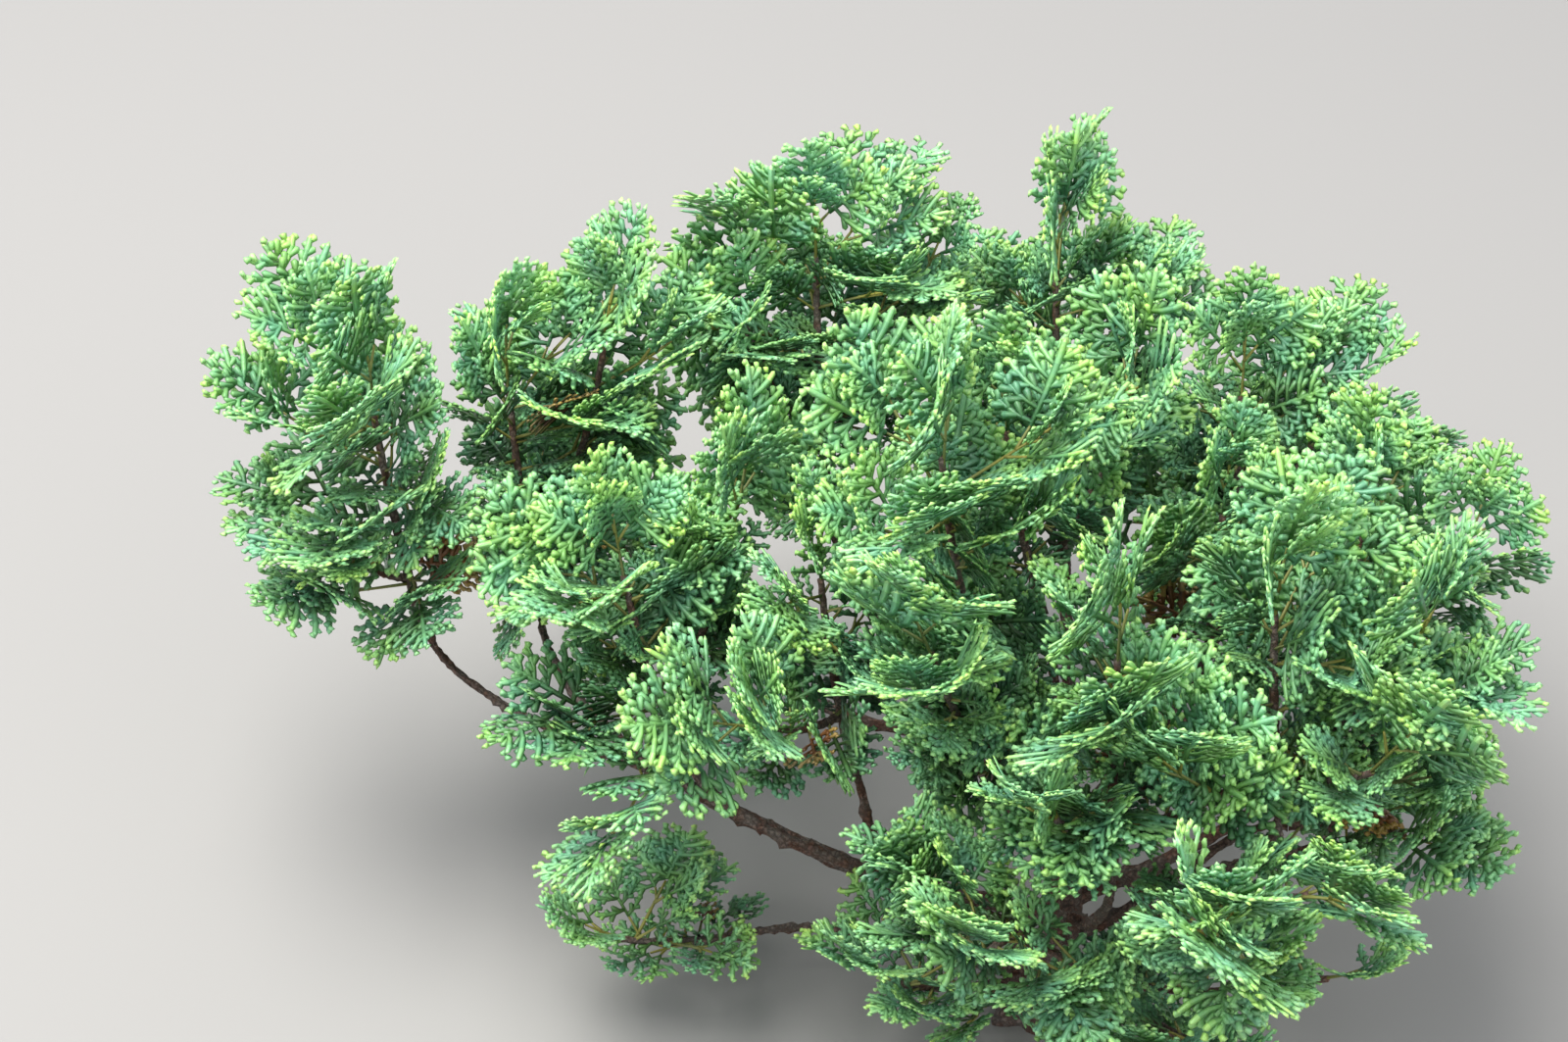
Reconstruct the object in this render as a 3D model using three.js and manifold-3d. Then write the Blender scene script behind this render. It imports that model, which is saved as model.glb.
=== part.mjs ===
// Dwarf hinoki cypress, a low and spreading garden conifer with shell-shaped sprays.
// Millimetres, +Z up. The origin is the middle of the flat cut under the trunk, at ground level,
// +X is to the right and +Y is to the back.
import * as THREE from 'three';
import { mergeVertices } from 'three/addons/utils/BufferGeometryUtils.js';
import Module from 'manifold-3d';

const wasm = await Module();
wasm.setup();

// Driving dimensions of the trunk and the boughs
const TRUNK_HEIGHT = 72;
const TRUNK_FOOT_RADIUS = 9.5;
const TRUNK_TOP_RADIUS = 5.5;
const ROOT_FLARE = 4.5; // how far the roots spread past the foot radius
const ROOT_LOBES = 5;
const BOUGH_TIP_RADIUS = 1.9;
const BOUGH_TAPER = 0.013; // radius gained for each millimetre down the bough
const FORK_SHARE = 0.88; // a bough's radius at most, as a share of that of the one it leaves
const GAP = 0.3; // between pieces that touch

// Driving dimensions of the foliage
const SHOOT_RADIUS = 1.6;
const SHOOT_TIP_RADIUS = 1.1;
const SHOOT_BEND = 14; // degrees that a shoot climbs more steeply at its tip than at its foot
const SHOOT_FORK = 0.16; // share of a mass's first shoot where its other shoots leave it
const TWIG_LENGTH = 14; // from the shoot's middle line to the spray's hub
const TWIG_RADIUS = 1.1;
const TWIG_SPACING = 6; // along a shoot, from one twig to the next
const TWIG_CLIMB = [0, 46]; // degrees above level, at a shoot's foot and at its tip
const GOLDEN_ANGLE = 137.5; // degrees round the shoot from one twig to the next
const SPRAY_REACH = 50; // from a spray's hub to its middle tip
const SPRAY_HALF_ANGLE = 66; // degrees from its middle tip to its side tips
const SPRAY_SIDE_LOSS = 0.3; // share of that reach that its side tips fall short by
const SPRAY_TIPS = 6;
const SPRAY_NOTCH = 0.84; // reach of the notches between the tips, as a share of the tips'
const SPRAY_KEEL = 2.2; // thickness at its hub, thinning to its rim
const SHOULDER = 1.1; // half the blade's width at its hub
const FINEST = 0.08; // detail smaller than this, left where pieces are fused, is smoothed out

// How clear a spray stays of what isn't its own
const CLEAR_OF_LIMBS = 2;
const CLEAR_OF_SPACES = 1.4;
const CLEAR_OF_SPRAYS = 3;
const CLEAR_OF_GROUND = 3;
const SIZES_TO_TRY = [1, 0.85, 0.72, 0.6, 0.5]; // shares of a spray's reach
const TURNS_TO_TRY = [0, 35, -35, 70, -70]; // degrees that its sheet is turned about its twig

// One row for each mass of foliage: where its stem starts, as a bearing round the trunk (degrees
// from +X towards +Y), a reach from the trunk's foot and a height. Then its shoots, each with a
// bearing, a climb above level (both in degrees) and a length; the first is its stem, which the
// others leave. from says which bough its own bough leaves, and at what share of that bough's
// length; a mass with no bough of its own starts on the trunk. size shrinks its sprays, and seed
// picks the draws that they grow by.
const MASSES = [
  { name: 'far_left', bearing: 158, reach: 222, height: 104, from: ['left_front', 0.68],
    shoots: [[114, 62, 74], [196, 34, 24]], seed: 1 },
  { name: 'left_tall', bearing: 152, reach: 187, height: 98, from: ['trunk', 0.3],
    shoots: [[104, 57, 80], [54, 60, 84]], seed: 5 },
  { name: 'left_front', bearing: 166, reach: 120, height: 92, from: ['trunk', 0.5],
    shoots: [[126, 60, 60], [58, 52, 64], [256, -4, 32]], seed: 11 },
  { name: 'middle', bearing: 158, reach: 66, height: 98, from: ['left_front', 0.42],
    shoots: [[108, 58, 54], [236, 30, 44]], seed: 11 },
  { name: 'centre_top', bearing: 0, reach: 0, height: TRUNK_HEIGHT,
    shoots: [[140, 70, 136], [232, 58, 96]], seed: 6 },
  { name: 'centre_back', bearing: 86, reach: 72, height: 112, from: ['trunk', 0.93],
    shoots: [[114, 60, 64], [46, 48, 62]], seed: 8 },
  { name: 'back_left_top', bearing: 116, reach: 154, height: 118, from: ['trunk', 0.8],
    shoots: [[95, 58, 78], [44, 44, 68], [146, 50, 56]], seed: 5 },
  { name: 'back_right_top', bearing: 84, reach: 160, height: 108, from: ['trunk', 0.68],
    shoots: [[94, 58, 70], [40, 44, 48], [108, 8, 44]], seed: 3 },
  { name: 'right_back', bearing: 57, reach: 138, height: 104, from: ['trunk', 0.87],
    shoots: [[88, 54, 54], [30, 40, 38]], seed: 11 },
  { name: 'right_middle', bearing: 38, reach: 72, height: 98, from: ['right_back', 0.42],
    shoots: [[80, 52, 62], [344, 46, 44]], seed: 9 },
  { name: 'far_right', bearing: 22, reach: 110, height: 104, from: ['trunk', 0.6],
    shoots: [[78, 58, 54], [18, 44, 52]], seed: 4 },
  { name: 'front_right', bearing: 336, reach: 78, height: 122, from: ['trunk', 0.74],
    shoots: [[95, 62, 60], [10, 46, 52], [316, 32, 40]], seed: 4 },
  { name: 'right_edge', bearing: 348, reach: 92, height: 98, from: ['front_right', 0.7],
    shoots: [[52, 54, 46], [304, 24, 32]], seed: 6 },
  { name: 'right_low', bearing: 14, reach: 88, height: 64, from: ['trunk', 0.4],
    shoots: [[352, 16, 30], [54, 14, 46]], seed: 11 },
  { name: 'front_centre', bearing: 296, reach: 46, height: 106, from: ['trunk', 0.56],
    shoots: [[92, 72, 68], [340, 38, 44], [232, 40, 44]], seed: 6 },
  { name: 'front_low', bearing: 262, reach: 50, height: 92, from: ['front_centre', 0.34],
    shoots: [[244, 22, 38], [178, 34, 32], [316, 0, 28]], seed: 2 },
  { name: 'front_right_tier', bearing: 304, reach: 66, height: 110, from: ['front_right', 0.46],
    shoots: [[280, 24, 48], [340, 20, 42]], seed: 1 },
  { name: 'low_front', bearing: 300, reach: 40, height: 46, from: ['trunk', 0.44],
    shoots: [[308, 14, 52], [256, 10, 48]], size: 0.85, seed: 8 },
  { name: 'low_right', bearing: 322, reach: 60, height: 66, from: ['front_right', 0.26],
    shoots: [[328, 12, 48]], size: 0.85, seed: 5 },
  { name: 'low_left', bearing: 172, reach: 94, height: 22, from: ['trunk', 0.16],
    shoots: [[190, 6, 44]], size: 0.6, seed: 4 },
  { name: 'foot_left', bearing: 200, reach: 0, height: 14,
    shoots: [[208, 22, 62]], size: 0.7, seed: 6 },
  { name: 'foot_right', bearing: 345, reach: 0, height: 18,
    shoots: [[336, 12, 62]], size: 0.7, seed: 1 },
  { name: 'back_left_low', bearing: 134, reach: 172, height: 72, from: ['back_left_top', 0.36],
    shoots: [[128, 20, 50]], seed: 2 },
  { name: 'back_right_low', bearing: 62, reach: 146, height: 62, from: ['trunk', 0.46],
    shoots: [[50, 20, 50], [104, 12, 50]], seed: 5 },
];

const SEED_SPREAD = 7919; // sets the draws of neighbouring seeds apart

// A shuffle of whole numbers that gives the same draws each run: each is the last one times
// 16807, modulo 2 to the 31st less 1.
function seeded(seed) {
  const modulus = 2147483647;
  let state = seed * SEED_SPREAD;
  return (low, high) => {
    state = (state * 16807) % modulus;
    return low + ((high - low) * state) / modulus;
  };
}

const radians = THREE.MathUtils.degToRad;
const lerp = THREE.MathUtils.lerp;

// The unit vector on a bearing round the trunk, with a climb above level.
function heading(bearing, climb) {
  const b = radians(bearing);
  const c = radians(climb);
  return new THREE.Vector3(Math.cos(b) * Math.cos(c), Math.sin(b) * Math.cos(c), Math.sin(c));
}

function placed(bearing, reach, height) {
  return heading(bearing, 0).multiplyScalar(reach).setZ(height);
}

// A closed geometry as a solid that booleans can use.
function solid(geometry) {
  const bare = new THREE.BufferGeometry()
    .setAttribute('position', geometry.getAttribute('position'))
    .setIndex(geometry.index);
  const merged = mergeVertices(bare, 1e-4);
  return new wasm.Manifold(new wasm.Mesh({
    numProp: 3,
    vertProperties: merged.attributes.position.array,
    triVerts: new Uint32Array(merged.index.array),
  }));
}

// A solid as a flat-shaded geometry.
function geometryOf(body) {
  const { numProp, numVert, vertProperties, triVerts } = body.getMesh();
  const points = new Float32Array(numVert * 3);
  for (let i = 0; i < numVert; i++) {
    points.set(vertProperties.subarray(i * numProp, i * numProp + 3), i * 3);
  }
  const geometry = new THREE.BufferGeometry()
    .setAttribute('position', new THREE.BufferAttribute(points, 3))
    .setIndex(new THREE.BufferAttribute(triVerts, 1))
    .toNonIndexed();
  geometry.computeVertexNormals();
  return geometry;
}

// A limb is a curve with a radius at its root and at its tip. Its solid is a tapering cylinder,
// bent along that curve. extra makes it stouter all round.
function limbSolid({ curve, rootRadius, tipRadius }, sides, steps, extra = 0) {
  const tube = new THREE.CylinderGeometry(tipRadius + extra, rootRadius + extra, 1, sides, steps);
  const { normals, binormals } = curve.computeFrenetFrames(steps, false);
  const position = tube.getAttribute('position');
  for (let i = 0; i < position.count; i++) {
    const along = position.getY(i) + 0.5;
    const ring = Math.round(along * steps);
    const point = curve.getPointAt(along)
      .addScaledVector(normals[ring], position.getX(i))
      .addScaledVector(binormals[ring], -position.getZ(i));
    position.setXYZ(i, point.x, point.y, point.z);
  }
  const made = solid(tube);
  return made.volume() < 0 ? solid(flipped(tube)) : made;
}

// The geometry with each face turned round.
function flipped(geometry) {
  const index = geometry.index.array;
  for (let i = 0; i < index.length; i += 3) {
    [index[i + 1], index[i + 2]] = [index[i + 2], index[i + 1]];
  }
  return geometry;
}

// The trunk's middle line leans to the right, then turns back and up.
const TRUNK_CURVE = new THREE.CatmullRomCurve3([
  new THREE.Vector3(0, 0, 0),
  new THREE.Vector3(8, 3, TRUNK_HEIGHT * 0.33),
  new THREE.Vector3(11, 8, TRUNK_HEIGHT * 0.66),
  new THREE.Vector3(3, 14, TRUNK_HEIGHT),
]);

// The trunk: level rings that taper upwards, with lobes where the roots spread at its foot.
function trunkSolid(extra = 0) {
  const steps = 7;
  const body = new THREE.CylinderGeometry(1, 1, 1, 15, steps);
  const position = body.getAttribute('position');
  for (let i = 0; i < position.count; i++) {
    const up = position.getY(i) + 0.5;
    const share = Math.hypot(position.getX(i), position.getZ(i));
    const turn = Math.atan2(position.getZ(i), position.getX(i));
    const flare = ROOT_FLARE * Math.pow(1 - up, 5) * (0.7 + 0.5 * Math.cos(ROOT_LOBES * turn));
    const radius = lerp(TRUNK_FOOT_RADIUS, TRUNK_TOP_RADIUS, Math.pow(up, 0.7)) + flare + extra;
    const middle = TRUNK_CURVE.getPoint(up);
    position.setXYZ(i, middle.x + share * radius * Math.cos(turn),
      middle.y - share * radius * Math.sin(turn), middle.z + up * extra);
  }
  return solid(body);
}

// A shoot climbs more steeply towards its tip.
function shootCurve(start, [bearing, climb, length]) {
  const bend = start.clone().addScaledVector(heading(bearing, climb - SHOOT_BEND), length / 2);
  const tip = start.clone().addScaledVector(heading(bearing, climb), length);
  return new THREE.QuadraticBezierCurve3(start, bend, tip);
}

// A bough leaves its parent at a wide angle, then turns to arrive in line with its first shoot.
function boughCurve(parent, share, mass, foot) {
  const [bearing, climb] = mass.shoots[0];
  const start = parent.getPoint(share);
  const along = parent.getTangent(share);
  const span = foot.clone().sub(start);
  const away = span.clone().normalize();
  away.addScaledVector(along, -0.6 * away.dot(along)).normalize();
  const arrival = heading(bearing, climb - SHOOT_BEND);
  return new THREE.CubicBezierCurve3(
    start,
    start.clone().addScaledVector(away, span.length() * 0.36),
    foot.clone().addScaledVector(arrival, -span.length() * 0.28),
    foot,
  );
}

// Works out where every bough and shoot runs, parents first.
function layOut() {
  const boughs = new Map();
  const waiting = [...MASSES];
  while (waiting.length) {
    const mass = waiting.shift();
    const [parent, share] = mass.from ?? ['trunk', mass.height / TRUNK_HEIGHT];
    if (parent !== 'trunk' && !boughs.has(parent)) {
      waiting.push(mass);
      continue;
    }
    const carrier = parent === 'trunk' ? TRUNK_CURVE : boughs.get(parent).curve;
    if (mass.from) {
      const foot = placed(mass.bearing, mass.reach, mass.height);
      const curve = boughCurve(carrier, share, mass, foot);
      const parentRadius = parent === 'trunk' ? TRUNK_TOP_RADIUS
        : lerp(boughs.get(parent).rootRadius, BOUGH_TIP_RADIUS, share);
      const rootRadius = Math.min(BOUGH_TIP_RADIUS + curve.getLength() * BOUGH_TAPER,
        parentRadius * FORK_SHARE);
      boughs.set(mass.name, { curve, rootRadius, tipRadius: Math.min(rootRadius, BOUGH_TIP_RADIUS) });
      mass.foot = foot.clone().addScaledVector(curve.getTangent(1), GAP);
    } else {
      mass.foot = carrier.getPoint(share);
    }
    mass.limbs = [];
    for (const shoot of mass.shoots) {
      const [stem] = mass.limbs;
      const start = stem ? stem.curve.getPoint(SHOOT_FORK) : mass.foot;
      const rootRadius = stem ? SHOOT_RADIUS : BOUGH_TIP_RADIUS;
      mass.limbs.push({ curve: shootCurve(start, shoot), rootRadius, tipRadius: SHOOT_TIP_RADIUS });
    }
  }
  return boughs;
}

// How far a point lies from a line of points.
function distanceTo(point, line) {
  const nearest = new THREE.Vector3();
  const piece = new THREE.Line3();
  let least = Infinity;
  for (let i = 1; i < line.length; i++) {
    piece.set(line[i - 1], line[i]).closestPointToPoint(point, true, nearest);
    least = Math.min(least, nearest.distanceTo(point));
  }
  return least;
}

// A spray is a twig and the sheet that spreads from its end, the hub. along, across and out are
// the ways along the sheet's middle, across it and out of its upper face. cup bends it across its
// width and curl along its length.
function makeSpray(root, along, twist, twigLength, size, random) {
  const up = new THREE.Vector3(0, 0, 1);
  const out = up.addScaledVector(along, -up.dot(along)).normalize()
    .applyAxisAngle(along, radians(twist));
  return {
    root,
    hub: root.clone().addScaledVector(along, twigLength),
    along,
    across: out.clone().cross(along),
    out,
    reach: SPRAY_REACH * size * random(0.85, 1.12),
    cup: random(0.2, 0.5),
    curl: random(-0.25, 0.2),
  };
}

function onSpray(spray, a, b) {
  const rise = (spray.cup * b * b + spray.curl * a * a) / spray.reach;
  return spray.hub.clone()
    .addScaledVector(spray.along, a)
    .addScaledVector(spray.across, b)
    .addScaledVector(spray.out, rise);
}

// A point on one of the spokes that fan out from the hub: turn runs from -1 to 1 over the fan,
// and share from the hub to the rim.
function onSpoke(spray, turn, share) {
  const angle = radians(SPRAY_HALF_ANGLE) * turn;
  const reach = spray.reach * (1 - SPRAY_SIDE_LOSS * turn * turn) * share;
  return onSpray(spray, reach * Math.cos(angle), reach * Math.sin(angle));
}

// Points spread over a spray, to tell how clear it is of other things.
function samplesOf(spray) {
  const points = [spray.root.clone().lerp(spray.hub, 0.6), spray.hub];
  for (const share of [0.25, 0.4, 0.55, 0.7, 0.85, 1]) {
    for (let turn = -1; turn <= 1; turn += 0.25) points.push(onSpoke(spray, turn, share));
  }
  return points;
}

// Whether a point is nearer to its own mass's shoots than to any other's, and clear of the limbs
// and of the ground.
function inOwnSpace(point, mass) {
  const nearest = (shoots) => Math.min(...shoots.map((shoot) => distanceTo(point, shoot)));
  const own = nearest(mass.lines);
  return point.z > CLEAR_OF_GROUND &&
    MASSES.every((other) => other === mass || nearest(other.lines) > own + CLEAR_OF_SPACES) &&
    limbLines.every(({ line, radius }) => distanceTo(point, line) > radius + CLEAR_OF_LIMBS);
}

// The spray at one size, with its sheet turned about its twig.
function turnedSpray(spray, size, turn) {
  const out = spray.out.clone().applyAxisAngle(spray.along, radians(turn));
  return { ...spray, out, across: out.clone().cross(spray.along), reach: spray.reach * size };
}

// Turns and shrinks a spray until it finds room. There may be none.
function fitSpray(spray, mass, grown) {
  for (const size of SIZES_TO_TRY) {
    for (const turn of TURNS_TO_TRY) {
      const tried = turnedSpray(spray, size, turn);
      const points = samplesOf(tried);
      const clear = points.every((point) =>
        grown.every((other) => point.distanceTo(other) > CLEAR_OF_SPRAYS));
      if (clear && points.every((point) => inOwnSpace(point, mass))) {
        grown.push(...points);
        return tried;
      }
    }
  }
  return null;
}

// The sprays of one shoot, from its tip down, with the same draws for each whether it finds room
// or not. The first goes straight on and the rest turn round the shoot by the golden angle.
function growShoot(mass, limb, random, grown) {
  const { curve } = limb;
  const count = Math.max(2, Math.round(curve.getLength() / TWIG_SPACING));
  const sprays = [];
  const leader = curve.getTangent(1);
  const level = new THREE.Vector3(0, 0, 1).cross(leader).normalize();
  leader.applyAxisAngle(level, radians(random(-20, 6)));
  const size = mass.size ?? 1;
  sprays.push(makeSpray(curve.getPoint(0.96), leader, random(-30, 30), TWIG_LENGTH / 2, size,
    random));
  let bearing = random(0, 360);
  for (let k = 0; k < count; k++) {
    const share = lerp(0.9, 0.14, k / (count - 1));
    const climb = lerp(...TWIG_CLIMB, share) + random(-12, 12);
    bearing += GOLDEN_ANGLE + random(-20, 20);
    sprays.push(makeSpray(curve.getPoint(share), heading(bearing, climb), random(-34, 34),
      TWIG_LENGTH * random(0.7, 1.25), size, random));
  }
  return sprays.map((spray) => fitSpray(spray, mass, grown)).filter(Boolean);
}

// A four-sided twig that ends in a toothed blade. The blade is thickest at its hub: its outline
// runs out to a tip and back to a notch in turn, with a face from each step of it to the hub's
// top and to the hub's underside.
function spraySolid(spray) {
  const { root, hub, across, out } = spray;
  const beside = (point, sideways, outwards) =>
    point.clone().addScaledVector(across, sideways).addScaledVector(out, outwards);
  const outline = [beside(hub, -SHOULDER, 0)];
  const spokes = 2 * SPRAY_TIPS - 1;
  for (let i = 0; i < spokes; i++) {
    outline.push(onSpoke(spray, (2 * i) / (spokes - 1) - 1, i % 2 ? SPRAY_NOTCH : 1));
  }
  outline.push(beside(hub, SHOULDER, 0));
  const points = [
    beside(root, 0, TWIG_RADIUS),
    beside(root, -TWIG_RADIUS, 0),
    beside(root, 0, -TWIG_RADIUS),
    beside(root, TWIG_RADIUS, 0),
    beside(hub, 0, SPRAY_KEEL / 2),
    beside(hub, 0, -SPRAY_KEEL / 2),
    ...outline,
  ];
  const [top, right, under, left, keelTop, keelUnder, first] = [0, 1, 2, 3, 4, 5, 6];
  const last = points.length - 1;
  const faces = [
    top, under, right, top, left, under,
    top, first, keelTop, top, right, first,
    right, keelUnder, first, right, under, keelUnder,
    under, last, keelUnder, under, left, last,
    left, keelTop, last, left, top, keelTop,
  ];
  for (let i = first; i < last; i++) {
    faces.push(keelTop, i, i + 1, keelUnder, i + 1, i);
  }
  return solid(new THREE.BufferGeometry().setFromPoints(points).setIndex(faces));
}

const barkLook = new THREE.MeshStandardMaterial({ color: '#6f5a4c', roughness: 0.9 });
const leafLook = new THREE.MeshStandardMaterial({ color: '#4f9a4b', roughness: 0.6 });

function mesh(name, body, look) {
  const made = new THREE.Mesh(geometryOf(body), look);
  made.name = name;
  return made;
}

const boughs = layOut();
const limbLines = [...boughs.values()]
  .map((limb) => ({ line: limb.curve.getPoints(10), radius: limb.rootRadius }));
limbLines.push({ line: TRUNK_CURVE.getPoints(8), radius: TRUNK_FOOT_RADIUS });
for (const mass of MASSES) {
  mass.lines = mass.limbs.map((limb) => limb.curve.getPoints(4));
}

const plant = new THREE.Group();
const trunkHole = trunkSolid(GAP);
plant.add(mesh('trunk', trunkSolid(), barkLook));
for (const [name, bough] of boughs) {
  const [parent] = MASSES.find((mass) => mass.name === name).from;
  const hole = parent === 'trunk' ? trunkHole : limbSolid(boughs.get(parent), 5, 5, GAP);
  plant.add(mesh('bough_' + name, limbSolid(bough, 5, 5).subtract(hole), barkLook));
}

for (const mass of MASSES) {
  const random = seeded(mass.seed);
  const grown = [];
  const pieces = [];
  for (const limb of mass.limbs) {
    const sprays = growShoot(mass, limb, random, grown);
    if (sprays.length) pieces.push(limbSolid(limb, 4, 3), ...sprays.map(spraySolid));
  }
  const body = pieces.reduce((whole, piece) => whole.add(piece));
  const trimmed = mass.from ? body : body.subtract(trunkHole);
  plant.add(mesh('foliage_' + mass.name, trimmed.asOriginal().simplify(FINEST), leafLook));
}

export default plant;
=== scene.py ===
import copy
import functools
import math
from collections import namedtuple

import bpy
import numpy as np
from bpy.props import FloatProperty, FloatVectorProperty, IntProperty, PointerProperty
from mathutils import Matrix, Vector


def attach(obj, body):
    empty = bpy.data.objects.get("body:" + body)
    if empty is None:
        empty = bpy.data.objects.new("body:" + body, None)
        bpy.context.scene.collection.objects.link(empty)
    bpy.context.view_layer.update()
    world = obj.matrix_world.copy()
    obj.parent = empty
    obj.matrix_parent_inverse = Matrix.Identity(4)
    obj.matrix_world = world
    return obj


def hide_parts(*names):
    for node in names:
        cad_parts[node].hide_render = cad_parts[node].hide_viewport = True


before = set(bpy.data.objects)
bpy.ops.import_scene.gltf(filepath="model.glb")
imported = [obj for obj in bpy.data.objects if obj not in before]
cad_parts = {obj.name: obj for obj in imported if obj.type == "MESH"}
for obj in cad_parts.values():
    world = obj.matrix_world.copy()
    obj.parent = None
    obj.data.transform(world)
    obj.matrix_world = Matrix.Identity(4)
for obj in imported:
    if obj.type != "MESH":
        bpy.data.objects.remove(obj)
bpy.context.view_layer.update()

bl_info = {
    "name": "Dwarf hinoki cypress",
    "version": (1, 0, 0),
    "blender": (4, 5, 0),
    "location": "3D View > Sidebar > Cypress",
    "description": "Bark, twigs and shell-shaped sprays of a dwarf hinoki cypress",
    "category": "Add Mesh",
}

MM = 0.001  # metres in a millimetre; the growth rule below counts in millimetres and degrees

# Sizes and angles of the trunk, the boughs and the shoots, as the solids have them
TRUNK_HEIGHT = 72
TRUNK_BENDS = ((0, 0, 0), (8, 3, 0.33), (11, 8, 0.66), (3, 14, 1))  # x, y and share of the height
TRUNK_FOOT_RADIUS = 9.5
TRUNK_TOP_RADIUS = 5.5
ROOT_FLARE = 4.5
ROOT_LOBES = 5
BOUGH_TIP_RADIUS = 1.9
BOUGH_TAPER = 0.013
BOUGH_OUTWARD = 0.6  # the share of its carrier's way that a bough loses where it leaves it
BOUGH_LEAVE = 0.36  # shares of a bough's span that its curve's handles take
BOUGH_ARRIVE = 0.28
FORK_SHARE = 0.88  # of its carrier's radius, the most that a bough's foot has
GAP = 0.3  # between a bough's tip and the shoot that goes on from it
SHOOT_RADIUS = 1.6
SHOOT_TIP_RADIUS = 1.1
SHOOT_BEND = 14  # how much less the first half of a shoot climbs
SHOOT_FORK = 0.16  # the share of a mass's first shoot at which the others leave it

# A shoot's leader goes on from near its tip, and its twigs leave it from the first share of its
# way to the second. The pairs of angles are the ends of a draw
LEADER_SHARE = 0.96
LEADER_TURN = (-20, 6)
LEADER_TWIST = (-30, 30)
TWIG_SHARES = (0.9, 0.14)
TWIG_CLIMB = (0, 46)  # at the shoot's foot and at its tip
TWIG_CLIMB_STRAY = (-12, 12)
GOLDEN_ANGLE = 137.5
TWIG_TURN_STRAY = (-20, 20)
TWIG_TWIST = (-34, 34)
TWIG_SIZES = (0.7, 1.25)
SPRAY_SIZES = (0.85, 1.12)
SPRAY_CUPS = (0.2, 0.5)
SPRAY_CURLS = (-0.25, 0.2)
SPRAY_HALF_ANGLE = 66
SPRAY_SIDE_LOSS = 0.3

# Where a spray is tested for room, into how many straight pieces each curve is cut for that, and
# how clear it stays
SAMPLE_SHARES = (0.25, 0.4, 0.55, 0.7, 0.85, 1)
SAMPLE_TURNS = np.linspace(-1, 1, 9)
SHOOT_PIECES = 4
BOUGH_PIECES = 10
TRUNK_PIECES = 8
CLEAR_OF_LIMBS = 2
CLEAR_OF_SPACES = 1.4
CLEAR_OF_GROUND = 3

SEED_SPREAD = 7919
DRAW_FACTOR = 16807
DRAW_MODULUS = 2 ** 31 - 1

# How a shoot is clothed: its twigs' length and spacing, the reach of their sprays, how clear
# these stay of each other, and the sizes and turns that they try
Habit = namedtuple("Habit", "twig spacing reach clear sizes turns")
LARGE = Habit(14, 6, 50, 3, (1, 0.85, 0.72, 0.6, 0.5), (0, 35, -35, 70, -70))
FINE = Habit(8, 3.4, 27, 1.6, (1, 0.8), (0, 40, -40, 80, -80))
TINY = Habit(6, 3.6, 17, 1.2, (1, 0.8), (0, 50, -50))
FINE_SEED = 50
TINY_SEED = 90

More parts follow.
